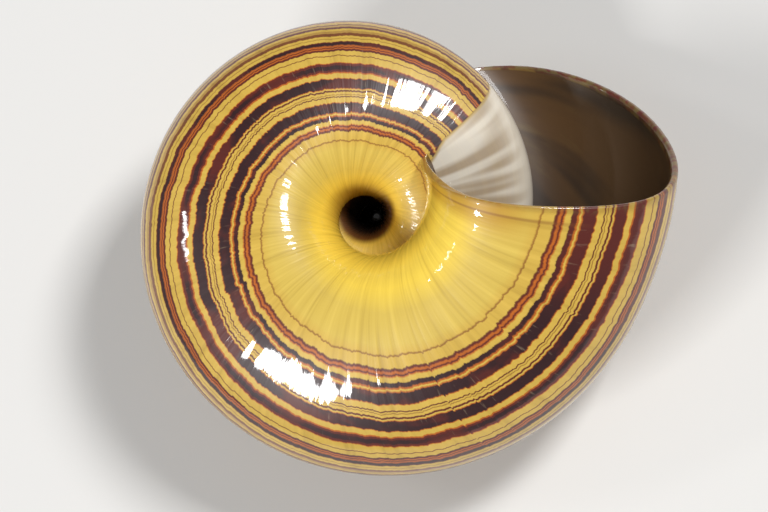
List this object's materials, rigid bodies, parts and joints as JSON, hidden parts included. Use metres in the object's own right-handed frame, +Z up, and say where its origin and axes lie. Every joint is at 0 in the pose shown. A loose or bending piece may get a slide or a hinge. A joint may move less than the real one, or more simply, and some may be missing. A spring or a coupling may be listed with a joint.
{
  "type": "land snail shell",
  "caption": "Large depressed land snail shell with dark spiral bands on yellow, a deep open umbilicus, a wide hollow mouth with a thin plain lip and a pale glossy callus",
  "frame": {"origin": "bottom centre of the bounding box, on the surface that the shell lies on", "axes": "+Z up, with the base and umbilicus up and the spire down; the mouth opens towards +Y on the +X side; the coiling axis leans 14.5 degrees from +Z, towards -Y"},
  "size_m": [0.0572, 0.048, 0.0281],
  "materials": {
    "shell": "polished, yellow with dark red-brown spiral bands"
  },
  "bodies": {
    "root": {"shell": "shell"}
  },
  "joints": []
}
